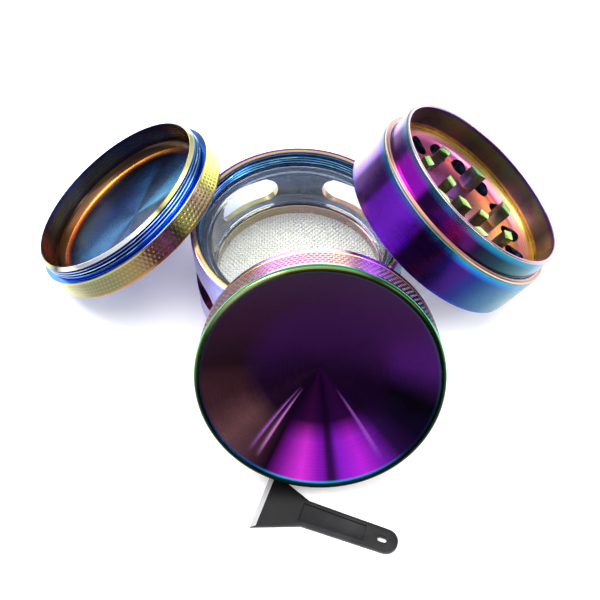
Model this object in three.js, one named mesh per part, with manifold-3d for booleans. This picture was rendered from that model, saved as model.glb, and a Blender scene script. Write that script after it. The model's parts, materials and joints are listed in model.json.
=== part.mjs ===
// Four-piece metal herb grinder, taken apart: sieve chamber standing upright, with the tray and the
// grinding chamber leaning against its sides, the lid standing on its edge in front, and a scraper.
// Every turned piece is modelled along its own +Z axis, then laid out by a nested group.
import * as THREE from "three";
import { mergeVertices } from "three/addons/utils/BufferGeometryUtils.js";
import Module from "manifold-3d";

// Driving dimensions in millimetres and degrees.
const OUTER_R = 31.5;
const TURN_STEPS = 60;
const EDGE = 0.6;

// Lid: heights are measured down from its top plane.
const LID_H = 12.6;
const LID_BORE_R = 30.1;
const LID_DISH_R = 30;
const LID_DISH_DEPTH = 9;
const LID_PLATE_R = 27.4;
const LID_PLATE_Z = -10.6;
const LID_GROOVE_Z = -5.2;
const LID_BOSS_R = 5.4;
const LID_BOSS_DROP = 4.2;
const MAGNET_R = 3.8;
const MAGNET_H = 1.6;
const MAGNET_FIT = 0.15;

// Grinding chamber: heights are measured down from its rim.
const NECK_R = 29.7;
const NECK_BORE_R = 28.5;
const LEDGE_Z = -7.6;
const RING_H = 0.7;
const CHAMBER_H = 22;
const FLOOR_Z = -12;
const FLOOR_FILLET = 4.6;
const FLOOR_T = 2.6;
const SKIRT_BORE_R = 26.8;
const COLLAR_R = 28.3;
const COLLAR_H = 1.8;
const HOLE_R = 3;
const HOLE_RING_R = 23.6;
const HOLE_COUNT = 16;
const HOLE_FIRST = -4.7;

// Teeth are rhombs with the long diagonal round the ring.
const TOOTH_H = 6.6;
const CHAMBER_TEETH = [
  { ring: 16.4, first: 2, step: 360 / 7, count: 7, across: 4.0, along: 6.2 },
  { ring: 7.8, first: 168, step: 60, count: 3, across: 4.0, along: 5.6 },
];
const LID_TEETH = [
  { ring: 12.25, first: 0, step: 60, count: 6, across: 3.2, along: 5.4 },
  { ring: 22.1, first: 22.5, step: 45, count: 8, across: 4.0, along: 6.2 },
];

// Sieve chamber: heights are measured up from its base.
const SIEVE_H = 29;
const SIEVE_FOOT_EDGE = 0.3;
const SIEVE_BORE_R = 29.2;
const SHOULDER_R = 27.4;
const SHOULDER_T = 0.6;
const MESH_Z = 5.3;
const MESH_T = 0.4;
const SCREEN_RING_TOP = 9.2;
const SCREEN_RING_R = 25.1;
const SLEEVE_R = 25.7;
const SLEEVE_TOP = 23.6;
const SLEEVE_WALL = 1.1;
const SLEEVE_FLANGE = 1.2;
const WINDOW_COUNT = 5;
const WINDOW_FIRST = 125;
const WINDOW_SPAN = 43;
const WINDOW_H = 10;
const WINDOW_Z = 14.2;

// Tray: heights are measured down from its rim.
const TRAY_H = 11.6;
const TRAY_NECK_R = 29.8;
const TRAY_NECK_H = 4.4;
const TRAY_BORE_R = 28.7;
const TRAY_BEVEL = 0.8;
const TRAY_FLOOR_Z = -9.2;
const TRAY_CENTRE_Z = -10.3;
const TRAY_FILLET = 4;
const TRAY_THREAD_R = 30.15;

// Scraper: it lies along X with the blade edge towards -X.
const SCRAPER_T = 1.8;
const BLADE_L = 12.6;
const BLADE_W = 16.6;
const BLADE_EDGE_T = 0.4;
const BEVEL_L = 1.6;
const HANDLE_L = 25.4;
const HANDLE_W = 7;
const HANDLE_END_R = 3.15;
const RIB_W = 1.1;
const RIB_DEPTH = 0.5;
const HANG_HOLE = { x: 21.2, length: 2.6, width: 1.5 };

// Where each loose piece lies: the centre of its top plane, its tilt, and the way it tilts.
const TRAY_PLACE = { at: [-56, 14.35, 26.95], tilt: 33.2, towards: 166.4 };
const CHAMBER_PLACE = { at: [53.9, 9.4, 37.0], tilt: 37.4, towards: 11.1 };
const LID_PLACE = { at: [5.36, -56.6, 33.65], tilt: 59.7, towards: -91.4 };
const SCRAPER_PLACE = { at: [1.75, -76.85, 0], turn: -19.7 };

const wasm = await Module();
wasm.setup();

const rad = THREE.MathUtils.degToRad;

// Boolean work between closed geometries.
function toManifold(geometry) {
  const bare = new THREE.BufferGeometry();
  const source = geometry.index ? geometry.toNonIndexed() : geometry;
  bare.setAttribute("position", source.getAttribute("position"));
  const merged = mergeVertices(bare, 1e-4);
  const mesh = new wasm.Mesh({
    numProp: 3,
    vertProperties: merged.attributes.position.array,
    triVerts: new Uint32Array(merged.index.array),
  });
  return new wasm.Manifold(mesh);
}

function toGeometry(solid) {
  const mesh = solid.getMesh();
  const geometry = new THREE.BufferGeometry();
  const corners = mesh.vertProperties;
  geometry.setAttribute("position", new THREE.BufferAttribute(corners, 3));
  geometry.setIndex(new THREE.BufferAttribute(mesh.triVerts, 1));
  geometry.computeVertexNormals();
  return geometry;
}

function join(base, extras) {
  return extras.reduce((sum, extra) => sum.add(toManifold(extra)), base);
}

function cut(base, tools) {
  return tools.reduce((rest, tool) => rest.subtract(toManifold(tool)), base);
}

// A solid of revolution about +Z from [radius, height] points that run up the outside.
function turned(profile, steps = TURN_STEPS) {
  const points = profile.map(([r, z]) => new THREE.Vector2(r, z));
  const geometry = new THREE.LatheGeometry(points, steps);
  geometry.rotateX(Math.PI / 2);
  return geometry;
}

// A plain ring or disc of revolution between two radii and two heights.
function washer(inner, outer, low, high, steps = TURN_STEPS) {
  const profile = [
    [inner, low],
    [outer, low],
    [outer, high],
    [inner, high],
  ];
  if (inner > 0) profile.push([inner, low]);
  return turned(profile, steps);
}

// Points of a quarter arc from angle "from" to angle "to" round (r, z).
function arc(r, z, radius, from, to, count) {
  return Array.from({ length: count + 1 }, (_, i) => {
    const a = rad(from + ((to - from) * i) / count);
    return [r + radius * Math.cos(a), z + radius * Math.sin(a)];
  });
}

// A ring of rhombic teeth standing from height "foot" to height "tip".
function teeth(rows, foot, tip) {
  return rows.flatMap((row) =>
    Array.from({ length: row.count }, (_, i) => {
      const shape = new THREE.Shape([
        new THREE.Vector2(row.ring - row.across / 2, 0),
        new THREE.Vector2(row.ring, -row.along / 2),
        new THREE.Vector2(row.ring + row.across / 2, 0),
        new THREE.Vector2(row.ring, row.along / 2),
      ]);
      const tooth = new THREE.ExtrudeGeometry(shape, {
        depth: tip - foot,
        bevelEnabled: false,
      });
      tooth.translate(0, 0, foot);
      tooth.rotateZ(rad(row.first + i * row.step));
      return tooth;
    }),
  );
}

function material(name, color, roughness, metalness) {
  const made = new THREE.MeshStandardMaterial({ color, roughness, metalness });
  made.name = name;
  return made;
}

function piece(name, geometry, look) {
  const mesh = new THREE.Mesh(geometry, look);
  mesh.name = name;
  return mesh;
}

// Lid: deep concave top, rounded rim, smooth skirt, and an annular groove that takes the neck.
function lidProfile() {
  const dishSteps = 6;
  const dish = Array.from({ length: dishSteps + 1 }, (_, i) => {
    const share = 1 - i / dishSteps;
    const drop = LID_DISH_DEPTH - 0.7;
    return [LID_DISH_R * share, -0.7 - drop * (1 - share * share)];
  });
  return [
    [0, LID_PLATE_Z],
    [LID_PLATE_R, LID_PLATE_Z],
    [LID_PLATE_R, LID_GROOVE_Z],
    [LID_BORE_R, LID_GROOVE_Z],
    [LID_BORE_R, -LID_H],
    [OUTER_R - EDGE, -LID_H],
    [OUTER_R, -LID_H + EDGE],
    ...arc(OUTER_R - 1.1, -1.1, 1.1, 0, 90, 3),
    ...dish,
  ];
}

function lidShell() {
  const bossTip = LID_PLATE_Z - LID_BOSS_DROP;
  const boss = washer(0, LID_BOSS_R, bossTip, LID_PLATE_Z + 0.4, 24);
  const pocketTop = bossTip + MAGNET_H + MAGNET_FIT;
  const pocket = washer(0, MAGNET_R + MAGNET_FIT, bossTip - 1, pocketTop, 24);
  const tooth = teeth(LID_TEETH, LID_PLATE_Z - TOOTH_H + 0.15, LID_PLATE_Z + 0.4);
  const whole = join(toManifold(turned(lidProfile())), [boss, ...tooth]);
  return toGeometry(cut(whole, [pocket]));
}

// Grinding chamber: smooth neck, ledge for the glide ring, drilled floor, open skirt, short collar.
function chamberProfile() {
  const under = FLOOR_Z - FLOOR_T;
  return [
    [0, under],
    [SKIRT_BORE_R, under],
    [SKIRT_BORE_R, -CHAMBER_H - COLLAR_H],
    [COLLAR_R, -CHAMBER_H - COLLAR_H],
    [COLLAR_R, -CHAMBER_H],
    [OUTER_R - EDGE, -CHAMBER_H],
    [OUTER_R, -CHAMBER_H + EDGE],
    [OUTER_R, LEDGE_Z - 0.3],
    [OUTER_R - 0.3, LEDGE_Z],
    [NECK_R, LEDGE_Z],
    [NECK_R, -0.4],
    [NECK_R - 0.4, 0],
    [NECK_BORE_R + 0.25, 0],
    [NECK_BORE_R, -0.25],
    ...arc(NECK_BORE_R - FLOOR_FILLET, FLOOR_Z + FLOOR_FILLET, FLOOR_FILLET, 0, -90, 4),
    [0, FLOOR_Z],
  ];
}

function chamberShell() {
  const holes = Array.from({ length: HOLE_COUNT }, (_, i) => {
    const hole = washer(0, HOLE_R, FLOOR_Z - FLOOR_T - 1, FLOOR_Z + 1, 12);
    hole.translate(HOLE_RING_R, 0, 0);
    hole.rotateZ(rad(HOLE_FIRST + (i * 360) / HOLE_COUNT));
    return hole;
  });
  const pocketFoot = FLOOR_Z - MAGNET_H - MAGNET_FIT;
  const pocket = washer(0, MAGNET_R + MAGNET_FIT, pocketFoot, FLOOR_Z + 1, 24);
  const tooth = teeth(CHAMBER_TEETH, FLOOR_Z - 0.4, FLOOR_Z + TOOTH_H);
  const whole = join(toManifold(turned(chamberProfile())), tooth);
  return toGeometry(cut(whole, [...holes, pocket]));
}

// Sieve chamber: one wall with a shoulder under the screen, opened by a row of rounded windows.
function sieveProfile() {
  return [
    [TRAY_THREAD_R, 0],
    [OUTER_R - SIEVE_FOOT_EDGE, 0],
    [OUTER_R, SIEVE_FOOT_EDGE],
    [OUTER_R, SIEVE_H - EDGE],
    [OUTER_R - EDGE, SIEVE_H],
    [SIEVE_BORE_R + 0.4, SIEVE_H],
    [SIEVE_BORE_R, SIEVE_H - 0.4],
    [SIEVE_BORE_R, MESH_Z],
    [SHOULDER_R, MESH_Z],
    [SHOULDER_R, MESH_Z - SHOULDER_T],
    [TRAY_THREAD_R, MESH_Z - SHOULDER_T],
    [TRAY_THREAD_R, 0],
  ];
}

// A window cutter: a rounded slot bent round the wall, longer than the wall is thick.
function windowCutter(middle) {
  const radius = WINDOW_H / 2;
  const half = (rad(WINDOW_SPAN) * OUTER_R) / 2 - radius;
  const shape = new THREE.Shape();
  shape.absarc(half, 0, radius, -Math.PI / 2, Math.PI / 2, false);
  shape.absarc(-half, 0, radius, Math.PI / 2, (3 * Math.PI) / 2, false);
  const slot = new THREE.ExtrudeGeometry(shape, {
    depth: 6,
    bevelEnabled: false,
    curveSegments: 6,
  });
  slot.rotateX(Math.PI / 2);
  slot.translate(0, OUTER_R + 2, WINDOW_Z);
  slot.rotateZ(rad(middle - 90));
  return slot;
}

function sieveShell() {
  const cutters = Array.from({ length: WINDOW_COUNT }, (_, i) =>
    windowCutter(WINDOW_FIRST + (i * 360) / WINDOW_COUNT),
  );
  return toGeometry(cut(toManifold(turned(sieveProfile())), cutters));
}

// The clear sleeve stands on the screen ring and covers the windows from inside: a thin wall with
// a flange at each end.
function windowSleeve() {
  const outer = SIEVE_BORE_R - 0.3;
  const back = SLEEVE_R + SLEEVE_WALL;
  return turned([
    [SLEEVE_R, SCREEN_RING_TOP + 0.8],
    [SLEEVE_R + 0.8, SCREEN_RING_TOP],
    [outer, SCREEN_RING_TOP],
    [outer, SCREEN_RING_TOP + SLEEVE_FLANGE],
    [back, SCREEN_RING_TOP + SLEEVE_FLANGE],
    [back, SLEEVE_TOP - SLEEVE_FLANGE],
    [outer, SLEEVE_TOP - SLEEVE_FLANGE],
    [outer, SLEEVE_TOP],
    [SLEEVE_R + 0.8, SLEEVE_TOP],
    [SLEEVE_R, SLEEVE_TOP - 0.8],
    [SLEEVE_R, SCREEN_RING_TOP + 0.8],
  ]);
}

// Tray: a threaded neck, a wider band with a flat foot, and a dished floor.
function trayProfile() {
  return [
    [0, -TRAY_H],
    [OUTER_R - EDGE, -TRAY_H],
    [OUTER_R, -TRAY_H + EDGE],
    [OUTER_R, -TRAY_NECK_H - 0.3],
    [OUTER_R - 0.3, -TRAY_NECK_H],
    [TRAY_NECK_R, -TRAY_NECK_H],
    [TRAY_NECK_R, -TRAY_BEVEL],
    [TRAY_NECK_R - TRAY_BEVEL, 0],
    [TRAY_BORE_R + 0.15, 0],
    [TRAY_BORE_R, -0.15],
    ...arc(TRAY_BORE_R - TRAY_FILLET, TRAY_FLOOR_Z + TRAY_FILLET, TRAY_FILLET, 0, -90, 4),
    [0, TRAY_CENTRE_Z],
  ];
}

// Scraper: a flared blade with a bevelled edge, and a handle with a sunk panel and a hanging hole.
function scraperOutline() {
  const neck = HANDLE_W / 2;
  const endX = HANDLE_L - HANDLE_END_R;
  const shape = new THREE.Shape();
  shape.moveTo(-BLADE_L, -BLADE_W / 2);
  shape.lineTo(0, -neck);
  shape.lineTo(endX, -HANDLE_END_R);
  shape.absarc(endX, 0, HANDLE_END_R, -Math.PI / 2, Math.PI / 2, false);
  shape.lineTo(0, neck);
  shape.lineTo(-BLADE_L, BLADE_W / 2);
  return shape;
}

function scraper() {
  const plate = new THREE.ExtrudeGeometry(scraperOutline(), {
    depth: SCRAPER_T,
    bevelEnabled: false,
    curveSegments: 6,
  });
  const bevel = new THREE.Shape([
    new THREE.Vector2(-BLADE_L - 1, BLADE_EDGE_T - 0.87),
    new THREE.Vector2(-BLADE_L + BEVEL_L, SCRAPER_T),
    new THREE.Vector2(-BLADE_L + BEVEL_L, SCRAPER_T + 1),
    new THREE.Vector2(-BLADE_L - 1, SCRAPER_T + 1),
  ]);
  const wedge = new THREE.ExtrudeGeometry(bevel, {
    depth: BLADE_W + 2,
    bevelEnabled: false,
  });
  wedge.rotateX(Math.PI / 2);
  wedge.translate(0, BLADE_W / 2 + 1, 0);
  const panelL = HANDLE_L - 8;
  const panel = new THREE.BoxGeometry(panelL, HANDLE_W - 2 * RIB_W, 1);
  panel.translate(panelL / 2 - 1, 0, SCRAPER_T - RIB_DEPTH + 0.5);
  const slot = new THREE.Shape();
  const reach = (HANG_HOLE.length - HANG_HOLE.width) / 2;
  slot.absarc(reach, 0, HANG_HOLE.width / 2, -Math.PI / 2, Math.PI / 2, false);
  slot.absarc(-reach, 0, HANG_HOLE.width / 2, Math.PI / 2, (3 * Math.PI) / 2, false);
  const hole = new THREE.ExtrudeGeometry(slot, {
    depth: SCRAPER_T + 2,
    bevelEnabled: false,
    curveSegments: 6,
  });
  hole.translate(HANG_HOLE.x, 0, -1);
  return toGeometry(cut(toManifold(plate), [wedge, panel, hole]));
}

// Stands a turned piece at its place: tilted about Y, then the tilt is swung round to its heading.
function layOut(name, place, meshes) {
  const group = new THREE.Group();
  group.name = name;
  group.position.set(...place.at);
  group.rotation.set(0, rad(place.tilt), rad(place.towards), "ZYX");
  group.add(...meshes);
  return group;
}

const lidPlating = material("lid_plating", 0x4b1670, 0.22, 1);
const chamberPlating = material("chamber_plating", 0x4a2aa0, 0.25, 1);
const sievePlating = material("sieve_plating", 0x8d86c8, 0.22, 1);
const trayPlating = material("tray_plating", 0x2a4f86, 0.25, 1);
const magnetPlating = material("magnet_plating", 0xb9bcc2, 0.3, 1);
const glideNylon = material("glide_nylon", 0xd9b79a, 0.4, 0);
const clearAcrylic = material("clear_acrylic", 0xa7b3bf, 0.08, 0);
const wovenWire = material("woven_wire", 0xd2d6cd, 0.4, 1);
const blackPlastic = material("black_plastic", 0x26242a, 0.6, 0);

const part = new THREE.Group();
part.name = "herb_grinder";

part.add(
  piece("sieve_shell", sieveShell(), sievePlating),
  piece("screen_mesh", washer(0, SIEVE_BORE_R - 0.3, MESH_Z, MESH_Z + MESH_T), wovenWire),
  piece(
    "screen_ring",
    washer(SCREEN_RING_R, SIEVE_BORE_R - 0.3, MESH_Z + MESH_T, SCREEN_RING_TOP),
    sievePlating,
  ),
  piece("window_sleeve", windowSleeve(), clearAcrylic),
);

const trayMesh = piece("tray_shell", turned(trayProfile()), trayPlating);
part.add(layOut("tray", TRAY_PLACE, [trayMesh]));

const chamberMagnet = washer(0, MAGNET_R, FLOOR_Z - MAGNET_H, FLOOR_Z - 0.1, 24);
const glideRing = washer(NECK_R + 0.15, OUTER_R - 0.15, LEDGE_Z + 0.1, LEDGE_Z + RING_H);
part.add(
  layOut("grinding_chamber", CHAMBER_PLACE, [
    piece("chamber_shell", chamberShell(), chamberPlating),
    piece("chamber_magnet", chamberMagnet, magnetPlating),
    piece("glide_ring", glideRing, glideNylon),
  ]),
);

const lidMagnetFoot = LID_PLATE_Z - LID_BOSS_DROP;
const lidMagnet = washer(0, MAGNET_R, lidMagnetFoot + 0.1, lidMagnetFoot + MAGNET_H, 24);
part.add(
  layOut("lid", LID_PLACE, [
    piece("lid_shell", lidShell(), lidPlating),
    piece("lid_magnet", lidMagnet, magnetPlating),
  ]),
);

const scraperMesh = piece("scraper", scraper(), blackPlastic);
scraperMesh.position.set(...SCRAPER_PLACE.at);
scraperMesh.rotation.z = rad(SCRAPER_PLACE.turn);
part.add(scraperMesh);

// The origin is the bottom centre of the whole layout.
const layout = new THREE.Box3().setFromObject(part, true);
const middle = layout.getCenter(new THREE.Vector3());
for (const child of part.children) {
  child.position.sub(new THREE.Vector3(middle.x, middle.y, layout.min.z));
}

export default part;
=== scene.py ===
"""A four-piece metal herb grinder, taken apart on a pale table.

Every turned piece is lathed about its own +Z axis in millimetres and then stood where the frame says.
Its profile is a list of corners (radius, height, rounding, zone) that keeps the solid on its left. The
zone names the surface that follows the corner, and each zone has its own material.
"""
import json
import math

import bmesh
import bpy
import numpy as np
from mathutils import Matrix, Vector


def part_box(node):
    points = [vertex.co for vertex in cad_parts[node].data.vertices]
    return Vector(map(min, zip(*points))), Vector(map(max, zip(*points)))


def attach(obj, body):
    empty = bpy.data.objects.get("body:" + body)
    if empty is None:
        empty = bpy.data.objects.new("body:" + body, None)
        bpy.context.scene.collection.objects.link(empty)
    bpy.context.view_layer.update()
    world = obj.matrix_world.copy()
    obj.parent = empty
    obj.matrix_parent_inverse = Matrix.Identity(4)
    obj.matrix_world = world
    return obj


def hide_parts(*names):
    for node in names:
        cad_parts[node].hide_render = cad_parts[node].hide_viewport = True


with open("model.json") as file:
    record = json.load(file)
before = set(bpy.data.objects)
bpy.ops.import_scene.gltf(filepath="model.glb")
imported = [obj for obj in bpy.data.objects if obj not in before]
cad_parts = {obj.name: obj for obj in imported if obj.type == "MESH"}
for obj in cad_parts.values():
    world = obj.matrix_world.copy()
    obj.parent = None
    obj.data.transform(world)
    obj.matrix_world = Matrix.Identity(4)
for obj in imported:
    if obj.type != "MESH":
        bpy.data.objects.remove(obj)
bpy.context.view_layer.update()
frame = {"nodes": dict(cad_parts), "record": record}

MM = 0.001

# Faces round a turned piece, steps of an arc, and the angles in degrees where smooth shading breaks.
STEPS = 288
MAGNET_STEPS = 72
DRILL_STEPS = 32
DIMPLE_STEPS = 7
ARC_STEPS = 12
ROUND_STEPS = 5
SHARP_ANGLE = 34
BEVEL_SHARP = 40

# Sizes in millimetres. Heights are measured from the top plane of the lid, the grinding chamber and
# the tray, and from the foot of the sieve chamber.
OUTER_R = 31.5
KNURL_PITCH = 1.35
KNURL_COUNT = 146
KNURL_STEP = 0.14
DIMPLE_R = 0.36 * KNURL_PITCH
BAND_SEAT = 0.2

LID_H = 12.6
LID_BORE_R = 30.1
LID_DISH_R = 30.0
LID_DISH_DEPTH = 9.0
LID_LIP = 0.7
LID_RIM_R = 1.15
LID_RIM_H = 1.3
LID_PLATE_R = 27.4
LID_PLATE_Z = -10.6
LID_GROOVE_Z = -5.2
LID_BOSS_TIP = -14.8
LID_BOSS_R = 5.4
LID_KNURL = (-9.0, -2.28)
LID_DIMPLE = 0.2
LID_LINE_Z = -9.85

NECK_R = 29.7
NECK_BORE_R = 28.5
LEDGE_Z = -7.6
CHAMBER_H = 22.0
FLOOR_Z = -12.0
FLOOR_FILLET = 4.6
FLOOR_T = 2.6
SKIRT_BORE_R = 26.8
COLLAR_R = 28.3
COLLAR_H = 1.8
COLLAR_THREAD = 0.35
HOLE_R = 3.0
HOLE_RING_R = 23.6
HOLE_COUNT = 16
HOLE_FIRST = -4.7
COUNTERSINK = 0.35

TOOTH_H = 6.6
LID_TOOTH_H = 6.45
TOOTH_ROOT = 0.3
TOOTH_ROUNDING = 0.22
CHAMBER_TEETH = (
    {"ring": 16.4, "first": 2, "step": 360 / 7, "count": 7, "across": 4.0, "along": 6.2},
    {"ring": 7.8, "first": 168, "step": 60, "count": 3, "across": 4.0, "along": 5.6},
)
LID_TEETH = (
    {"ring": 12.25, "first": 0, "step": 60, "count": 6, "across": 3.2, "along": 5.4},
    {"ring": 22.1, "first": 22.5, "step": 45, "count": 8, "across": 4.0, "along": 6.2},
)
MAGNET_R = 3.8
MAGNET_H = 1.6
POCKET_R = MAGNET_R + 0.15

SIEVE_H = 29.0
SIEVE_BORE_R = 29.2
SHOULDER_R = 27.4
SHOULDER_T = 0.6
SCREEN_Z = 5.5
SCREEN_PITCH = 0.85
SCREEN_WIRE_R = 0.13
RING_R = 25.1
RING_LOW = 5.7
RING_TOP = 9.2
SLEEVE_R = 25.7
SLEEVE_TOP = 23.6
SLEEVE_WALL = 1.1
SLEEVE_FLANGE = 1.2
SLEEVE_GAP = 0.3
WINDOW_COUNT = 5
WINDOW_FIRST = 125
WINDOW_SPAN = 43
WINDOW_H = 10.0
WINDOW_Z = 14.2
SIEVE_THREAD = (24.3, 28.3)

TRAY_H = 11.6
TRAY_NECK_R = 29.8
TRAY_NECK_H = 4.4
TRAY_BORE_R = 28.7
TRAY_BEVEL = 0.8
TRAY_FLOOR_Z = -9.2
TRAY_CENTRE_Z = -10.3
TRAY_FILLET = 4.0
TRAY_SOCKET_R = 30.15
TRAY_KNURL = (-10.6, -5.2)
TRAY_DIMPLE = 0.07
TRAY_THREAD = (-4.1, -1.1)
THREAD_PITCH = 1.0
THREAD_DEPTH = 0.45
THREAD_STEP = 0.12
THREAD_FADE = 0.35

SCRAPER_T = 1.8
BLADE_L = 12.6
BLADE_W = 16.6
BEVEL_L = 1.6
HANDLE_L = 25.4
HANDLE_W = 7.0
HANDLE_END_R = 3.15
RIB_W = 1.1
RIB_DEPTH = 0.5
EDGE_T = 0.4
PANEL_L = 17.4
HANG_HOLE = {"x": 21.2, "length": 2.6, "width": 1.5}


# -------- geometry

def rounded(corners, arc_steps=ROUND_STEPS):
    """The profile with each corner's rounding drawn as a curve, cut short where an edge is short."""
    most = 0.49
    points = []
    for i, (r, z, rounding, zone) in enumerate(corners):
        here = Vector((r, z))
        if rounding <= 0 or i == 0 or i == len(corners) - 1:
            points.append((r, z, zone))
            continue
        back = Vector(corners[i - 1][:2]) - here
        ahead = Vector(corners[i + 1][:2]) - here
        half = back.angle(ahead) / 2
        reach = min(rounding / math.tan(half), back.length * most, ahead.length * most)
        start = here + back.normalized() * reach
        end = here + ahead.normalized() * reach
        for k in range(arc_steps + 1):
            t = k / arc_steps
            bend = start * (1 - t) ** 2 + here * 2 * t * (1 - t) + end * t ** 2
            points.append((bend.x, bend.y, corners[i - 1][3] if t < 0.5 else zone))
    return points


def quarter_arc(r, z, wide, high, steps=ARC_STEPS):
    """Points of a quarter ellipse about (r, z), from just past (r + wide, z) to (r, z + high)."""
    angles = [math.radians(i * 90 / steps) for i in range(1, steps + 1)]
    return [(r + wide * math.cos(a), z + high * math.sin(a)) for a in angles]


def subdivided(points, zone, step):
    """The profile with every segment of one zone cut into short steps."""
    made = []
    for here, there in zip(points, points[1:] + points[:1]):
        made.append(here)
        if here[2] != zone:
            continue
        length = math.dist(here[:2], there[:2])
        count = max(1, round(length / step))
        for k in range(1, count):
            t = k / count
            r, z = (a + (b - a) * t for a, b in zip(here[:2], there[:2]))
            made.append((r, z, zone))
    return made


def finished(mesh, materials, sharp=SHARP_ANGLE):
    """Gives a mesh its materials and smooth shading that breaks at sharp edges."""
    for material in materials:
        mesh.materials.append(material)
    mesh.polygons.foreach_set("use_smooth", [True] * len(mesh.polygons))
    mesh.set_sharp_from_angle(angle=math.radians(sharp))
    mesh.update()
    return mesh


def new_object(name, data):
    made = bpy.data.objects.new(name, data)
    bpy.context.scene.collection.objects.link(made)
    return made


def solid(name, vertices, faces, materials, slots=None, sharp=SHARP_ANGLE):
    """An object made of faces. slots holds the number of each face's material."""
    mesh = bpy.data.meshes.new(name)
    mesh.from_pydata(vertices, [], faces)
    if slots:
        mesh.polygons.foreach_set("material_index", slots)
    return new_object(name, finished(mesh, materials, sharp))


def turned(name, points, zones, closed=False, steps=STEPS, relief=None):
    """A lathed object. zones maps each zone's name to its material; relief(turn, z, zone) moves
    a point outwards, in millimetres."""
    names = list(zones)
    turn = np.arange(steps) * 2 * math.pi / steps
    vertices = []
    rings = []
    for r, z, zone in points:
        if r < 1e-6:
            rings.append([len(vertices)] * steps)
            vertices.append((0.0, 0.0, z * MM))
            continue
        rings.append(list(range(len(vertices), len(vertices) + steps)))
        reach = r + (relief(turn, z, zone) if relief else 0.0) + np.zeros(steps)
        vertices.extend(zip(reach * np.cos(turn) * MM, reach * np.sin(turn) * MM, [z * MM] * steps))
    faces = []
    slots = []
    spans = list(zip(rings, rings[1:] + rings[:1], points))
    for low, high, point in spans if closed else spans[:-1]:
        for a in range(steps):
            b = (a + 1) % steps
            faces.append(list(dict.fromkeys((low[a], low[b], high[b], high[a]))))
            slots.append(names.index(point[2]))
    return solid(name, vertices, faces, zones.values(), slots)


def thread(low, high, depth):
    """Relief of a right-hand thread that fades in and out at its two ends."""
    def relief(turn, z, zone):
        if zone != "thread":
            return 0.0
        wave = 0.5 + 0.5 * np.cos(2 * math.pi * z / THREAD_PITCH - turn)
        ends = np.clip(min(z - low, high - z) / THREAD_FADE, 0, 1)
        return depth * wave ** 0.8 * ends
    return relief


def knurl_relief(low, high, depth):
    """Relief of round dimples in staggered rows."""
    rows = round((high - low) / KNURL_PITCH)
    pitch = (high - low) / rows

    def relief(turn, z, zone):
        if zone != "knurl":
            return 0.0
        row = min(int((z - low) / pitch), rows - 1)
        across = (z - low) / pitch - row - 0.5
        along = (turn * KNURL_COUNT / (2 * math.pi) + 0.5 * (row % 2)) % 1.0 - 0.5
        distance = np.hypot(along * KNURL_PITCH, across * pitch)
        return -depth * np.clip(1 - (distance / DIMPLE_R) ** 2, 0, 1)
    return relief


def knurled_band(name, low, high, depth, material, edge):
    """A thin dimpled band let into the outside of a piece."""
    points = subdivided([
        (OUTER_R - BAND_SEAT, low, "edge"),
        (OUTER_R, low, "knurl"),
        (OUTER_R, high, "edge"),
        (OUTER_R - BAND_SEAT, high, "edge"),
    ], "knurl", KNURL_STEP)
    zones = {"knurl": material, "edge": edge}
    relief = knurl_relief(low, high, depth)
    return turned(name, points, zones, steps=KNURL_COUNT * DIMPLE_STEPS, relief=relief)


def applied(base, sharp):
    """Turns the modifiers of base into its mesh, shaded smooth up to the sharp angle."""
    bpy.context.view_layer.update()
    whole = base.evaluated_get(bpy.context.evaluated_depsgraph_get())
    mesh = bpy.data.meshes.new_from_object(whole)
    base.modifiers.clear()
    base.data = finished(mesh, [], sharp)
    return base


def carved(base, cutters):
    """Cuts the cutter objects out of base, keeps the cutters' material slots, and removes them."""
    for cutter in cutters:
        modifier = base.modifiers.new("cut", "BOOLEAN")
        modifier.operation = "DIFFERENCE"
        modifier.solver = "EXACT"
        modifier.object = cutter
    applied(base, SHARP_ANGLE)
    for cutter in cutters:
        bpy.data.objects.remove(cutter)
    return base


def bevelled(base, width):
    """Rounds every edge that turns by more than 30 degrees."""
    modifier = base.modifiers.new("bevel", "BEVEL")
    modifier.width = width * MM
    modifier.segments = 2
    modifier.limit_method = "ANGLE"
    modifier.angle_limit = math.radians(30)
    return applied(base, BEVEL_SHARP)


def prism(name, outline, low, high, materials, slot=0):
    """A straight prism over an outline of (x, y) points, in millimetres. Its faces 0 and 1 are its
    low and high ends."""
    count = len(outline)
    vertices = [(x * MM, y * MM, low * MM) for x, y in outline]
    vertices += [(x * MM, y * MM, high * MM) for x, y in outline]
    faces = [list(range(count))[::-1], list(range(count, 2 * count))]
    faces += [[i, (i + 1) % count, (i + 1) % count + count, i + count] for i in range(count)]
    return solid(name, vertices, faces, materials, [slot] * len(faces))


def joined(name, objects):
    """One object made of several that share a list of materials."""
    whole = bmesh.new()
    for piece in objects:
        piece.data.transform(piece.matrix_world)
        whole.from_mesh(piece.data)
    mesh = bpy.data.meshes.new(name)
    whole.to_mesh(mesh)
    whole.free()
    for material in objects[0].data.materials:
        mesh.materials.append(material)
    for piece in objects:
        bpy.data.objects.remove(piece)
    mesh.set_sharp_from_angle(angle=math.radians(BEVEL_SHARP))
    return new_object(name, mesh)


def turn_by(piece, degrees):
    piece.matrix_world = Matrix.Rotation(math.radians(degrees), 4, "Z") @ piece.matrix_world
    return piece


# -------- places

joints = {joint["name"]: joint for joint in frame["record"]["behaviour"]["joints"]}

# Each piece's pivot in the record lies this far below its top plane.
PIVOT_DROP = 5 * MM


def standing(joint_name):
    """The place of a tilted piece: its turning axis as local +Z, and its top plane as height 0."""
    joint = joints[joint_name]
    axis = Vector(joint["axis"])
    tilt = Matrix.Rotation(math.acos(axis.z), 4, "Y")
    heading = Matrix.Rotation(math.atan2(axis.y, axis.x), 4, "Z")
    top = Vector(joint["pos_m"]) + axis * PIVOT_DROP
    return Matrix.Translation(top) @ heading @ tilt


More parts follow.
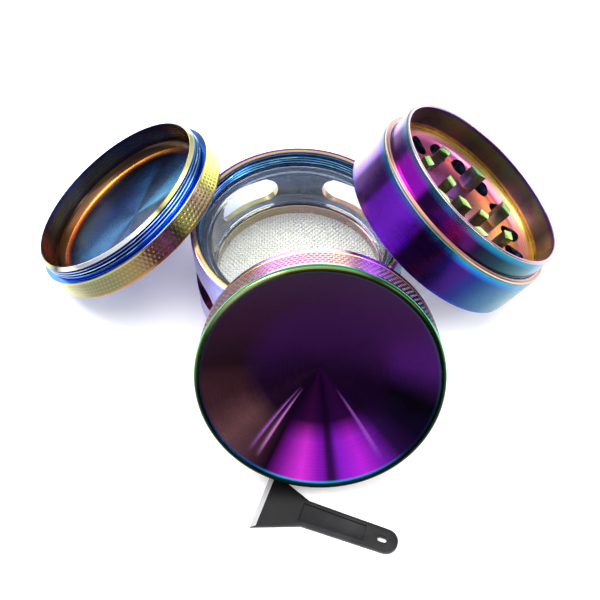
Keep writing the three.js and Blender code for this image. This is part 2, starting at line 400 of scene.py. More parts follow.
def sieve_place():
    low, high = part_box("sieve_shell")
    middle = (low + high) / 2
    return Matrix.Translation((middle.x, middle.y, low.z))


def scraper_place():
    """The scraper's own frame, found from its CAD solid: X runs along the handle from the blade."""
    along = Vector(joints["scraper_slide"]["axis"])
    across = Vector((-along.y, along.x, 0))
    corners = [Vector(v.co) for v in bpy.data.objects[frame["nodes"]["scraper"].name].data.vertices]
    edge = min(c.dot(along) for c in corners)
    sides = [c.dot(across) for c in corners]
    origin = along * (edge + BLADE_L * MM) + across * (min(sides) + max(sides)) / 2
    turn = Matrix.Rotation(math.atan2(along.y, along.x), 4, "Z")
    return Matrix.Translation(origin) @ turn


def settle(piece, place, body, slot, *nodes):
    """Puts a finished piece in its place on its body, in place of the CAD nodes it stands for."""
    piece.matrix_world = place @ piece.matrix_world
    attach(piece, body)
    if nodes:
        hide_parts(*nodes)


# -------- materials

def linear(code):
    """A colour written #rrggbb as linear light."""
    channels = [int(code[i:i + 2], 16) / 255 for i in (1, 3, 5)]
    return [c / 12.92 if c <= 0.04045 else ((c + 0.055) / 1.055) ** 2.4 for c in channels] + [1.0]


class Shader:
    """One procedural material, with short ways to add nodes to it."""

    def __init__(self, name):
        self.material = bpy.data.materials.new(name)
        self.material.use_nodes = True
        self.tree = self.material.node_tree
        self.surface = self.tree.nodes["Principled BSDF"]
        self.space = self.node("TexCoord").outputs["Object"]

    def feed(self, socket, value):
        if isinstance(value, bpy.types.NodeSocket):
            self.tree.links.new(value, socket)
        else:
            socket.default_value = value

    def node(self, kind, **settings):
        made = self.tree.nodes.new("ShaderNode" + kind)
        for key, value in settings.items():
            setattr(made, key, value)
        return made

    def maths(self, operation, *values):
        made = self.node("Math", operation=operation)
        for socket, value in zip(made.inputs, values):
            self.feed(socket, value)
        return made.outputs[0]

    def spread(self, value, low, high, new_low=0.0, new_high=1.0):
        made = self.node("MapRange")
        for socket, number in zip(made.inputs, (value, low, high, new_low, new_high)):
            self.feed(socket, number)
        return made.outputs[0]

    def ramp(self, factor, stops):
        """A colour ramp. A stop is (place, colour) or (place, colour, cover)."""
        made = self.node("ValToRGB")
        elements = made.color_ramp.elements
        for i, (place, colour, *cover) in enumerate(stops):
            element = elements[i] if i < 2 else elements.new(place)
            element.position = place
            element.color = linear(colour)[:3] + [cover[0] if cover else 1.0]
        self.feed(made.inputs[0], factor)
        return made.outputs

    def fan(self, turn, stops):
        """A colour ramp round a full turn, with stops in degrees. The first stop also closes it."""
        places = [(degrees / 360, *look) for degrees, *look in stops]
        return self.ramp(turn, places + [(1, *stops[0][1:])])

    def mix(self, factor, first, second, blend="MIX"):
        made = self.node("Mix", data_type="RGBA", blend_type=blend)
        self.feed(made.inputs[0], factor)
        self.feed(made.inputs[6], first)
        self.feed(made.inputs[7], second)
        return made.outputs[2]

    def noise(self, scale, detail, line=None):
        """Noise in space, or along a line when line is a number socket."""
        made = self.node("TexNoise", noise_dimensions="1D" if line else "3D")
        made.inputs["Scale"].default_value = scale
        made.inputs["Detail"].default_value = detail
        self.feed(made.inputs["W" if line else "Vector"], line or self.space)
        return made.outputs["Fac"]

    def cylinder(self):
        """The share of a full turn round local Z, the radius and the height in millimetres."""
        split = self.node("SeparateXYZ")
        self.feed(split.inputs[0], self.space)
        x, y, z = split.outputs
        turn = self.maths("DIVIDE", self.maths("ARCTAN2", y, x), 2 * math.pi)
        turn = self.maths("FRACT", self.maths("ADD", turn, 1.0))
        squares = self.maths("ADD", self.maths("MULTIPLY", x, x), self.maths("MULTIPLY", y, y))
        radius = self.maths("MULTIPLY", self.maths("SQRT", squares), 1 / MM)
        return turn, radius, self.maths("MULTIPLY", z, 1 / MM)

    def bump(self, height, distance):
        made = self.node("Bump")
        made.inputs["Distance"].default_value = distance * MM
        self.feed(made.inputs["Height"], height)
        self.feed(self.surface.inputs["Normal"], made.outputs[0])

    def set(self, **values):
        for key, value in values.items():
            self.feed(self.surface.inputs[key.replace("_", " ")], value)
        return self.material


def plated_with_painted_light(name, fans, tints=(), patches=(), lines="height", roughness=0.24, streak=0.5,
           groove=0.004, anisotropy=0.6, coarse=9.0):
    """Turned metal with interference plating and painted light. fans are the colours round the turn,
    in degrees: partly the plating's own and partly painted reflection, highlight and shade.
    Each tint is (axis, low, high, stops): colours laid over the fans by radius or by height.
    Each patch is (axis, low, high, fans): fans of their own between two radii or two heights.
    The turning lines run at one height all round, or at one radius where lines says so."""
    shader = Shader(name)
    turn, radius, height = shader.cylinder()
    ways = {"radius": radius, "height": height}
    colour = shader.fan(turn, fans)[0]
    for axis, low, high, stops in tints:
        over = shader.ramp(shader.spread(ways[axis], low, high), stops)
        colour = shader.mix(over[1], colour, over[0])
    for axis, low, high, stops in patches:
        over = shader.fan(turn, stops)
        soft = (high - low) * 0.3
        start = shader.spread(ways[axis], low, low + soft)
        end = shader.spread(ways[axis], high, high - soft)
        cover = shader.maths("MULTIPLY", over[1], shader.maths("MULTIPLY", start, end))
        colour = shader.mix(cover, colour, over[0])
    cuts = shader.noise(coarse, 4.0, line=ways[lines])
    haze = shader.noise(160.0, 3.0)
    lift = shader.spread(cuts, 0.3, 0.7, 1.0 - streak * 0.5, 1.0 + streak * 0.35)
    shade = shader.node("CombineColor")
    for socket in shade.inputs[:3]:
        shader.feed(socket, lift)
    colour = shader.mix(1.0, colour, shade.outputs[0], "MULTIPLY")
    handled = shader.spread(haze, 0.35, 0.75, -0.04, 0.07)
    grain = shader.spread(cuts, 0.25, 0.75, roughness - 0.06, roughness + 0.08)
    shader.bump(cuts, groove)
    tangent = shader.node("Tangent", direction_type="RADIAL", axis="Z")
    return shader.set(
        Base_Color=colour,
        Metallic=1.0,
        Roughness=shader.maths("ADD", grain, handled),
        Anisotropic=anisotropy,
        Tangent=tangent.outputs[0],
    )


def mould_plastic(name, colour, light, roughness, grain, depth):
    """Moulded plastic with a fine grain and faint rubbed patches."""
    shader = Shader(name)
    fine = shader.noise(grain, 3.0)
    patches = shader.noise(130.0, 4.0)
    rubbed = shader.spread(patches, 0.45, 0.75)
    tone = shader.mix(rubbed, linear(colour), linear(light))
    shader.bump(fine, depth)
    rough = shader.spread(patches, 0.3, 0.7, roughness + 0.08, roughness - 0.08)
    return shader.set(Base_Color=tone, Roughness=rough, Specular_IOR_Level=0.16)


def spotted(name, scale, detail, colours, spread, **finish):
    """A material whose colour and roughness change together in soft spots. spread is the span of
    the noise and the roughness at its two ends."""
    shader = Shader(name)
    spots = shader.noise(scale, detail)
    tone = shader.mix(spots, *(linear(code) for code in colours))
    return shader.set(Base_Color=tone, Roughness=shader.spread(spots, *spread), **finish)


# The lid's plating: a dark violet bowl whose fans of painted reflection open from its centre, and a green
# rim. Round the turn the colours are partly the plating's own and partly painted reflection, highlight
# and shade.
LID_BOWL = plated_with_painted_light("lid_bowl_plating_and_highlights", [
    (0, "#a01cd0"), (3, "#8a1cb8"), (6, "#35104f"), (9, "#3f1260"), (13, "#9a22e0"), (25, "#d02af4"),
    (36, "#8420c0"), (46, "#30124e"), (60, "#160a28"), (76, "#08060f"), (98, "#300d48"),
    (125, "#22092d"), (180, "#1c0722"), (230, "#1c081a"), (262, "#14080f"), (285, "#3c2028"),
    (305, "#744c50"), (322, "#4a2c38"), (332, "#1c0820"), (339, "#8a1aa4"), (351, "#f038f4")
], tints=[("radius", 0, LID_DISH_R, [
    (0, "#1b0826", 0.97), (0.5, "#1e082a", 0.95), (0.68, "#1e082a", 0)
])], patches=[("radius", 29.4, 30.7, [
    (0, "#18b8f0", 1), (30, "#1690e0", 0.9), (50, "#0c2450", 0.6), (95, "#0a3440", 0.5),
    (180, "#062a2c", 0.7), (280, "#0c0c24", 0.6), (325, "#1a58c0", 0.7), (342, "#18b8f0", 1)
]), ("radius", 7, 28, [
    # The three thin radial streaks across the bowl are painted highlights.
    (0, "#d878ff", 0), (34.6, "#d878ff", 0), (36, "#d878ff", 0.9), (37.4, "#d878ff", 0),
    (317.6, "#d878ff", 0), (319, "#d878ff", 0.9), (320.4, "#d878ff", 0), (323.2, "#ff9cff", 0),
    (324.7, "#ff9cff", 1), (326.2, "#ff9cff", 0)
])], lines="radius", roughness=0.22, groove=0.006, anisotropy=0.7)
# On the rim, the pale fan at 222 degrees is a painted highlight.
LID_RIM = plated_with_painted_light("lid_rim_plating_and_highlight", [
    (0, "#0a100c"), (60, "#0c160e"), (95, "#101e12"), (130, "#1e2812"), (165, "#3c3c20"),
    (195, "#54542c"), (222, "#d8e4a0"), (245, "#4c5a2c"), (275, "#0c160e")
], tints=[("radius", LID_DISH_R, OUTER_R, [
    (0, "#0a7a6a", 0.8), (0.12, "#040a08", 0.9), (0.35, "#0c120a", 0.4), (0.6, "#2a2a14", 0.1),
    (0.86, "#2a9a5a", 0.3), (0.96, "#38d08a", 0.85), (1, "#2cc8b0", 0.95)
])], lines="radius", roughness=0.16, anisotropy=0.3)
SKIRT_FANS = [
    (0, "#301648"), (60, "#3c1c50"), (100, "#241624"), (128, "#2e1c33"), (146, "#7a2a94"),
    (160, "#c07ad0"), (172, "#ffc4b0"), (190, "#ffa9d6"), (205, "#e58be0"), (216, "#7a4a62"),
    (240, "#8f6a70"), (270, "#6a4a58"), (320, "#3c1c44")
]
LID_SKIRT = plated_with_painted_light("lid_skirt_plating", SKIRT_FANS, tints=[("height", -LID_H, -1, [
    (0, "#c070d8", 0.5), (0.2, "#b25fd0", 0.3), (0.215, "#ffb858", 1), (0.26, "#ffb858", 1),
    (0.275, "#f0a050", 0), (0.9, "#d060e0", 0), (0.97, "#20c0a0", 0.7), (1, "#30d090", 1)
])], roughness=0.2)
# The bottom of each dimple is painted near white: painted glints.
LID_KNURLED = plated_with_painted_light("lid_knurl_plating_and_glints", SKIRT_FANS, tints=[("radius", OUTER_R - LID_DIMPLE, OUTER_R, [
    (0, "#fff0e6", 1), (0.45, "#f4d0c4", 0.95), (0.65, "#301830", 0.2), (1, "#301830", 0)
])], roughness=0.24, streak=0.1, anisotropy=0, groove=0.0005)
LID_INSIDE = plated_with_painted_light("lid_inside_plating", [
    (0, "#c06aa8"), (70, "#d8925c"), (140, "#b05ac0"), (220, "#7a4ad0"), (300, "#d8a860")
], tints=[("radius", 0, 29.8, [
    (0, "#c8a04a", 0.3), (0.6, "#c050b0", 0), (0.9, "#d8c050", 0.7), (1, "#3a60c0", 0.7)
])], lines="radius", roughness=0.26)

# The grinding chamber's plating: long bands along the wall that turn teal beside the ledge. Round the
# turn the colours are partly the plating's own and partly painted reflection, highlight and shade.
CHAMBER_WALL = plated_with_painted_light("chamber_wall_plating", [
    (0, "#46307a"), (40, "#2a5a96"), (80, "#7a3ab8"), (110, "#c9b8f0"), (138, "#ded4ff"),
    (158, "#b7a8f2"), (167, "#8a66d0"), (171, "#3a1458"), (187, "#46186c"), (190, "#7a28d8"),
    (205, "#9430ff"), (217, "#8a28f8"), (221, "#34104f"), (234, "#421868"), (238, "#241668"),
    (248, "#2e1458"), (256, "#182060"), (264, "#163660"), (276, "#1a5074"), (288, "#2a7084"),
    (300, "#5a8c9c"), (312, "#c7b4cc"), (330, "#8a70b0")
], tints=[("height", -CHAMBER_H, LEDGE_Z, [
    (0, "#3038c0", 0.4), (0.1, "#3038c0", 0), (0.82, "#1a70d8", 0), (0.93, "#147ac8", 0.5),
    (1, "#1a8a68", 0.9)
])], roughness=0.25, coarse=5)
CHAMBER_NECK = plated_with_painted_light("chamber_neck_plating", [
    (0, "#3a2a6a"), (60, "#5a2a9a"), (110, "#c0a8f0"), (138, "#d8b8f4"), (155, "#a07ae0"),
    (161, "#3c1256"), (178, "#4a1468"), (184, "#b81cd8"), (203, "#b020e8"), (207, "#2c1048"),
    (222, "#341050"), (232, "#8a1a78"), (238, "#4a1258"), (246, "#160f26"), (262, "#122a34"),
    (276, "#134a54"), (290, "#1f6a78"), (304, "#7a5aa0"), (330, "#5a4a90")
], tints=[("height", LEDGE_Z, 0, [
    (0, "#8a2a90", 0.6), (0.15, "#8a2a90", 0), (0.66, "#1670c0", 0), (0.84, "#1478b0", 0.5),
    (0.95, "#127a5a", 0.85), (1, "#c8a8c8", 1)
])], roughness=0.2)
CHAMBER_RIM = plated_with_painted_light("chamber_rim_plating", [
    (0, "#d8c2d2"), (90, "#c8a8c8"), (180, "#e4cfd8"), (250, "#7a3a78"), (300, "#b79ac0")
], lines="radius", roughness=0.18, anisotropy=0.3)
CHAMBER_LEDGE = plated_with_painted_light("chamber_ledge_plating", [
    (0, "#b8928a"), (120, "#e8d0cc"), (180, "#e2b49c"), (230, "#c08a7a"), (280, "#b09090")
], lines="radius", roughness=0.26)
CHAMBER_BORE = plated_with_painted_light("chamber_bore_plating", [
    (0, "#96a074"), (14, "#52604c"), (26, "#6c7054"), (34, "#667456"), (52, "#6e6c50"), (66, "#4e5c48"),
    (80, "#706850"), (88, "#647254"), (112, "#4a5848"), (134, "#808c68"), (150, "#5a6850"),
    (185, "#4e5c4c"), (240, "#627054"), (300, "#788462"), (330, "#98a278"), (345, "#5a6850")
], tints=[("height", -7.4, 0, [
    (0, "#f0e060", 1), (0.05, "#b0a860", 0.6), (0.12, "#5a5a40", 0), (0.75, "#6a4a6a", 0.1),
    (0.9, "#4a2a8a", 0.75), (1, "#3a2aa0", 0.9)
])], roughness=0.3)
CHAMBER_FLOOR = plated_with_painted_light("chamber_floor_plating", [
    (0, "#e89a78"), (40, "#d878a8"), (80, "#c05ac8"), (130, "#d870a0"), (175, "#e0a070"),
    (215, "#b84ac8"), (260, "#c860b8"), (310, "#e8a068")
], tints=[("radius", 0, NECK_BORE_R, [
    (0, "#b048c8", 0.5), (0.6, "#c858c0", 0.2), (0.85, "#b85a98", 0.4), (0.95, "#a85a68", 0.7),
    (0.985, "#a8784a", 0.8), (0.996, "#d8c850", 1), (1, "#e8e058", 1)
])], lines="radius", roughness=0.3)
HOLE_WALL = plated_with_painted_light("hole_plating", [
    (0, "#1e2a3c"), (120, "#2a2a44"), (240, "#1c343c")
], roughness=0.3, anisotropy=0)
TOOTH_TOP = plated_with_painted_light("tooth_top_plating", [
    (0, "#b4ec7a"), (120, "#a2e886"), (240, "#cdf07c")
], lines="radius", roughness=0.28, anisotropy=0, streak=0.3)
TOOTH_SIDE = plated_with_painted_light("tooth_side_plating", [
    (0, "#60785c"), (60, "#4a6460"), (130, "#6c7854"), (200, "#4e6854"), (280, "#6e7c58")
], tints=[("height", FLOOR_Z, FLOOR_Z + TOOTH_H, [
    (0, "#a89c58", 0.6), (0.25, "#50563a", 0), (1, "#4a3a4c", 0.4)
])], roughness=0.28, anisotropy=0)
CHAMBER_UNDER = plated_with_painted_light("chamber_under_plating", [
    (0, "#4a5ac0"), (90, "#8a5ac8"), (180, "#c07ab0"), (270, "#4a8ac0")
], lines="radius", roughness=0.3)
GLIDE = plated_with_painted_light("glide_ring_finish", [
    (0, "#c8a090"), (110, "#f0dcd6"), (160, "#eccabc"), (200, "#d8a282"), (240, "#b8907c"),
    (285, "#c4a6a0")
], lines="radius", roughness=0.34, anisotropy=0.2, groove=0.002)

# The sieve chamber's plating: pale lilac outside, blue threads, slate inside the sleeve. Round the turn
# the colours are partly the plating's own and partly painted reflection, highlight and shade.
SIEVE_WALL = plated_with_painted_light("sieve_wall_plating", [
    (0, "#6a7ad0"), (40, "#8a6ad8"), (90, "#9a50c0"), (130, "#7a66c8"), (165, "#8a8ae0"),
    (185, "#c4c0f0"), (200, "#a8a2e4"), (214, "#a894dc"), (226, "#9aa2e2"), (245, "#5a3a9a"),
    (275, "#7a30b0"), (310, "#3a6ac0"), (340, "#5aa0c8")
], tints=[("height", 0, SIEVE_H, [
    (0, "#5a3ac0", 0.6), (0.1, "#5a3ac0", 0), (0.9, "#8a5ad8", 0), (0.965, "#3a9ae8", 0.8),
    (0.985, "#b060d0", 0.8), (1, "#f0d868", 1)
])], roughness=0.2)
SIEVE_RIM = plated_with_painted_light("sieve_rim_plating", [
    (0, "#8a3aa8"), (60, "#a040b0"), (100, "#c060c0"), (140, "#4a50a8"), (180, "#e8d070"),
    (215, "#f2e488"), (280, "#8a50c0")
], tints=[("radius", SIEVE_BORE_R, OUTER_R, [
    (0, "#0c1830", 1), (0.15, "#203a70", 1), (0.24, "#e8c860", 1), (0.48, "#f4e08a", 0.95),
    (0.58, "#a848b0", 0.6), (1, "#7a4ad8", 0.4)
])], lines="radius", roughness=0.14, anisotropy=0.3)
# The thread's crests are painted near white and its roots near black: painted highlights and painted
# shade over the blue plating.
SIEVE_THREAD_PAINTED_LIGHT = plated_with_painted_light("sieve_thread_plating_painted_light", [
    (0, "#163a78"), (40, "#0f2450"), (80, "#2a7ac8"), (104, "#2f9ad8"), (130, "#1a5aa0"),
    (165, "#2a8ad0"), (200, "#4ab4e0"), (240, "#1a4a90"), (300, "#122a60")
], tints=[("radius", 28.72, 29.22, [
    (0, "#f0faff", 1), (0.2, "#6cc4f0", 0.8), (0.45, "#10285c", 0.6), (0.8, "#02040c", 1)
])], roughness=0.15, anisotropy=0.3)
SIEVE_BORE = plated_with_painted_light("sieve_bore_plating", [
    (0, "#6a7890"), (60, "#5a6c88"), (95, "#54667e"), (130, "#66769a"), (180, "#7a84a4"),
    (260, "#8a90aa")
], tints=[("height", 5, 24, [
    (0, "#3a4c84", 0.7), (0.35, "#4a5c90", 0.5), (0.7, "#4a5a78", 0)
])], roughness=0.22)
WINDOW_EDGE = plated_with_painted_light("window_edge_plating", [
    (0, "#c88a50"), (60, "#e8a078"), (120, "#e8d880"), (200, "#4a1a58"), (225, "#e06a50"),
    (250, "#3a5ac0")
], roughness=0.22, anisotropy=0)
RING_PLATING = plated_with_painted_light("screen_ring_plating", [
    (0, "#a08c90"), (60, "#988484"), (100, "#9c8c7c"), (140, "#a0987c"), (200, "#8a8e94"),
    (280, "#908490")
], roughness=0.1, anisotropy=0, streak=0.15, groove=0.001)
SIEVE_SOCKET = plated_with_painted_light("sieve_socket_plating", [
    (0, "#6a4ac8"), (120, "#3a7ac8"), (240, "#a060c0")
], roughness=0.24)

# The tray's plating: a steel-blue floor with an orange fillet, and a pale gold outside. Round the turn
# the colours are partly the plating's own and partly painted reflection, highlight and shade.
TRAY_FLOOR = plated_with_painted_light("tray_floor_plating", [
    (0, "#3068a0"), (25, "#4080b8"), (48, "#4d8cc0"), (66, "#3f7ab4"), (80, "#1d3058"), (94, "#2a5a98"),
    (106, "#1b2444"), (160, "#24335a"), (194, "#27405e"), (206, "#64b4e0"), (222, "#4a98cc"),
    (236, "#28486c"), (262, "#1e3050"), (272, "#3a74b0"), (300, "#2c5ea4"), (335, "#285498")
], tints=[("radius", 0, 26, [
    (0, "#3a7ab0", 0.2), (0.5, "#3a7ab0", 0), (0.82, "#241a6a", 0.1), (0.94, "#241458", 0.8),
    (1, "#1c1020", 1)
])], patches=[("radius", 24.6, 30, [
    (0, "#c87038", 0.9), (30, "#b86844", 0.8), (60, "#3a2014", 0.6), (200, "#14101c", 0.6),
    (238, "#2c1c14", 0.7), (258, "#a0642c", 0.9), (272, "#f09c40", 1), (300, "#f09c40", 1)
])], lines="radius", roughness=0.24, anisotropy=0.75)
TRAY_BORE = plated_with_painted_light("tray_bore_plating", [
    (0, "#96683c"), (24, "#b07038"), (50, "#a8683c"), (80, "#6a503c"), (130, "#4a443c"),
    (200, "#5e5850"), (235, "#706a58"), (262, "#6c6058"), (290, "#5c5860"), (310, "#887058"),
    (335, "#7c6250")
], tints=[("height", TRAY_FLOOR_Z, 0, [
    (0, "#5a3414", 0.9), (0.2, "#281810", 0.9), (0.42, "#1c1410", 0.6), (0.55, "#1c1410", 0),
    (0.82, "#141c4a", 0.1), (0.95, "#1a2a8a", 0.6), (1, "#2a50b0", 0.9)
])], roughness=0.2)
# On the rim, the white and pale yellow fans are painted highlights.
TRAY_RIM = plated_with_painted_light("tray_rim_plating_and_highlights", [
    (0, "#1a2438"), (38, "#787850"), (60, "#a0a070"), (70, "#14140c"), (82, "#e8e8d0"), (98, "#ffffff"),
    (128, "#ffffff"), (142, "#d8d490"), (150, "#3a3a20"), (166, "#b8b060"), (186, "#fff8b0"),
    (226, "#fff8b0"), (250, "#1c2a48"), (300, "#0c1630")
], lines="radius", roughness=0.14, anisotropy=0.2)
# The thread's roots are painted near black and its crests pale blue: painted shade and painted highlights
# over the blue plating.
TRAY_THREAD_PAINTED_LIGHT = plated_with_painted_light("tray_thread_plating_painted_light", [
    (0, "#24446a"), (40, "#14305e"), (80, "#0c1a58"), (120, "#101878"), (150, "#1638a8"),
    (185, "#2a6ab8"), (215, "#6abce8"), (260, "#2a5a98"), (320, "#1a3a70")
], tints=[("radius", 29.4, 29.85, [
    (0, "#02030a", 0.95), (0.5, "#081030", 0.7), (0.85, "#1a50c0", 0.1), (1, "#b8dcf8", 0.7)
]), ("height", -4.4, -1, [
    (0, "#2878d8", 0.9), (0.16, "#1a4ac0", 0.6), (0.3, "#102060", 0)
])], roughness=0.14, anisotropy=0.3)
BAND_FANS = [
    (0, "#6a6a48"), (30, "#c4c07a"), (58, "#d2ce96"), (74, "#8f8c58"), (86, "#5c5a3c"),
    (104, "#565640"), (118, "#6a5a3c"), (130, "#6a5244"), (140, "#a06a90"), (148, "#4c4a34"),
    (155, "#a8a45c"), (166, "#d4d078"), (180, "#e0dc78"), (195, "#f0ec74"), (215, "#fbf682"),
    (240, "#e8e08a"), (290, "#a8a060"), (330, "#7a6a50")
]
TRAY_BAND = plated_with_painted_light("tray_band_plating", BAND_FANS, tints=[("height", -TRAY_H, -TRAY_NECK_H, [
    (0, "#b06a3a", 0.9), (0.08, "#b06a3a", 0.4), (0.16, "#b06a3a", 0), (1, "#e8e8a0", 0.2)
])], roughness=0.22)
TRAY_KNURLED = plated_with_painted_light("tray_knurl_plating", BAND_FANS, tints=[("radius", OUTER_R - TRAY_DIMPLE, OUTER_R, [
    (0, "#7a7a48", 0.6), (0.6, "#7a7a48", 0.2), (1, "#7a7a48", 0)
])], roughness=0.24, streak=0.15, anisotropy=0, groove=0.0005)
TRAY_UNDER = plated_with_painted_light("tray_under_plating", [
    (0, "#8a3ac0"), (50, "#2a6ac0"), (110, "#4a20a0"), (170, "#b04ac0"), (230, "#2a5ab0"),
    (300, "#6a2ab0")
], tints=[("radius", 0, OUTER_R, [
    (0, "#301050", 0.5), (0.6, "#301050", 0), (0.95, "#20a0c0", 0.6), (1, "#c0b060", 0.9)
])], lines="radius", roughness=0.22, anisotropy=0.75)

ACRYLIC = spotted("clear_acrylic", 90.0, 4.0, ("#c4d0e4", "#d6e0f0"), (0.35, 0.7, 0.0, 0.05),
                  IOR=1.4, Transmission_Weight=0.96)
WIRE = spotted("woven_wire", 420.0, 3.0, ("#c2c4b6", "#eceee2"), (0.3, 0.7, 0.3, 0.48), Metallic=0.9)
NICKEL = spotted("magnet_nickel", 700.0, 3.0, ("#7d7f88", "#a4a6ae"), (0.3, 0.7, 0.22, 0.4),
                 Metallic=1.0)
BLACK_PLASTIC = mould_plastic("black_plastic", "#0c0c0e", "#18181b", 0.5, 2600.0, 0.012)
PALE_BEVEL_PLASTIC = mould_plastic("pale_bevel_plastic", "#a7a6a8", "#c6c5c6", 0.6, 2200.0, 0.01)


# -------- lid

def lid_profile():
    """From the plate's centre, down the inside, up the skirt, over the rim and down the dish."""
    dish_steps = 26
    dish = []
    for i in range(dish_steps + 1):
        share = 1 - i / dish_steps
        fall = LID_LIP + (LID_DISH_DEPTH - LID_LIP) * (1 - share * share)
        dish.append((LID_DISH_R * share, -fall, "bowl"))
    low, high = LID_KNURL
    wall = [
        (0, LID_PLATE_Z, 0, "inside"),
        (LID_PLATE_R, LID_PLATE_Z, 0.4, "inside"),
        (LID_PLATE_R, LID_GROOVE_Z, 0.3, "inside"),
        (LID_BORE_R, LID_GROOVE_Z, 0.3, "inside"),
        (LID_BORE_R, -LID_H, 0.2, "inside"),
        (OUTER_R, -LID_H, 0.35, "skirt"),
        (OUTER_R, LID_LINE_Z - 0.25, 0, "skirt"),
        (OUTER_R - 0.12, LID_LINE_Z - 0.1, 0, "skirt"),
        (OUTER_R - 0.12, LID_LINE_Z + 0.1, 0, "skirt"),
        (OUTER_R, LID_LINE_Z + 0.25, 0, "skirt"),
        (OUTER_R, low, 0, "skirt"),
        (OUTER_R - BAND_SEAT, low, 0, "skirt"),
        (OUTER_R - BAND_SEAT, high, 0, "skirt"),
        (OUTER_R, high, 0, "skirt"),
        (OUTER_R, -LID_RIM_H - 0.1, 0, "rim"),
    ]
    rim = quarter_arc(OUTER_R - LID_RIM_R, -LID_RIM_H, LID_RIM_R, LID_RIM_H)[:-1]
    rim += [(OUTER_R - LID_RIM_R - 0.15, -0.03), (LID_DISH_R + 0.06, -0.3)]
    return rounded(wall) + [(r, z, "rim") for r, z in rim] + dish


def tooth_ring(name, rows, foot, tip):
    """Rhombic teeth with rounded edges, standing from foot to tip."""
    made = []
    low, high = sorted((foot, tip))
    tip_face = 1 if tip > foot else 0
    for row in rows:
        ring, half, reach = row["ring"], row["across"] / 2, row["along"] / 2
        outline = [(ring - half, 0), (ring, -reach), (ring + half, 0), (ring, reach)]
        for i in range(row["count"]):
            tooth = prism(name, outline, low, high, [TOOTH_TOP, TOOTH_SIDE], slot=1)
            tooth.data.polygons[tip_face].material_index = 0
            made.append(turn_by(bevelled(tooth, TOOTH_ROUNDING), row["first"] + i * row["step"]))
    return joined(name, made)


def build_lid(place):
    shell = turned("lid", lid_profile(), {
        "inside": LID_INSIDE, "skirt": LID_SKIRT, "rim": LID_RIM, "bowl": LID_BOWL,
    })
    settle(shell, place, "lid", "lid_plating", "lid_shell")
    band = knurled_band("lid_knurl", *LID_KNURL, LID_DIMPLE, LID_KNURLED, LID_SKIRT)
    settle(band, place, "lid", "lid_plating")
    foot, tip = LID_PLATE_Z + TOOTH_ROOT, LID_PLATE_Z - LID_TOOTH_H
    settle(tooth_ring("lid_teeth", LID_TEETH, foot, tip), place, "lid", "lid_plating")
    boss = turned("lid_boss", rounded([
        (POCKET_R, LID_BOSS_TIP + MAGNET_H, 0, "inside"),
        (POCKET_R, LID_BOSS_TIP, 0.2, "inside"),
        (LID_BOSS_R, LID_BOSS_TIP, 0.4, "inside"),
        (LID_BOSS_R, LID_PLATE_Z, 0, "inside"),
    ]), {"inside": LID_INSIDE})
    settle(boss, place, "lid", "lid_plating")
    magnet = magnet_disc("lid_magnet_disc", LID_BOSS_TIP + 0.1, LID_BOSS_TIP + MAGNET_H)
    settle(magnet, place, "lid", "magnet_plating", "lid_magnet")


def magnet_disc(name, low, high):
    return turned(name, rounded([
        (0, low, 0, "nickel"),
        (MAGNET_R, low, 0.3, "nickel"),
        (MAGNET_R, high, 0.3, "nickel"),
        (0, high, 0, "nickel"),
    ]), {"nickel": NICKEL}, steps=MAGNET_STEPS)


# -------- grinding chamber

def chamber_profile():
    """From under the floor, down the skirt, up the wall and neck, and down the bore to the pocket."""
    under = FLOOR_Z - FLOOR_T
    foot = -CHAMBER_H - COLLAR_H
    corners = rounded([
        (0, under, 0, "under"),
        (SKIRT_BORE_R, under, 0.8, "under"),
        (SKIRT_BORE_R, foot, 0.2, "under"),
        (COLLAR_R - COLLAR_THREAD, foot, 0.2, "thread"),
        (COLLAR_R - COLLAR_THREAD, -CHAMBER_H, 0, "under"),
        (OUTER_R, -CHAMBER_H, 0.5, "wall"),
        (OUTER_R, LEDGE_Z, 0.35, "ledge"),
        (NECK_R, LEDGE_Z, 0.25, "neck"),
        (NECK_R, 0, 0.45, "rim"),
        (NECK_BORE_R, 0, 0.35, "bore"),
        (NECK_BORE_R, FLOOR_Z + FLOOR_FILLET, 0, "floor"),
    ])
    edge = NECK_BORE_R - FLOOR_FILLET
    floor = quarter_arc(edge, FLOOR_Z + FLOOR_FILLET, FLOOR_FILLET, -FLOOR_FILLET)
    floor += [(r, FLOOR_Z) for r in (20, 16, 12, 8, POCKET_R)]
    floor += [(POCKET_R, FLOOR_Z - 0.5), (0, FLOOR_Z - 0.5)]
    return subdivided(corners, "thread", THREAD_STEP) + [(r, z, "floor") for r, z in floor]


CHAMBER_ZONES = {"under": CHAMBER_UNDER, "thread": SIEVE_THREAD_PAINTED_LIGHT, "wall": CHAMBER_WALL,
                 "ledge": CHAMBER_LEDGE, "neck": CHAMBER_NECK, "rim": CHAMBER_RIM,
                 "bore": CHAMBER_BORE, "floor": CHAMBER_FLOOR, "hole": HOLE_WALL}


def hole_cutter(degrees):
    """A drill with a small countersink at each face of the floor, long enough for the fillet."""
    low, high = FLOOR_Z - FLOOR_T, FLOOR_Z
    wide = HOLE_R + COUNTERSINK
    outline = [
        (0, low - 1), (wide, low - 1), (wide, low), (HOLE_R, low + COUNTERSINK),
        (HOLE_R, high - COUNTERSINK), (wide, high + 0.2), (wide, high + FLOOR_FILLET),
        (0, high + FLOOR_FILLET),
    ]
    drill = turned("drill", [(r, z, "hole") for r, z in outline], CHAMBER_ZONES, steps=DRILL_STEPS)
    drill.matrix_world = Matrix.Translation((HOLE_RING_R * MM, 0, 0))
    return turn_by(drill, degrees)


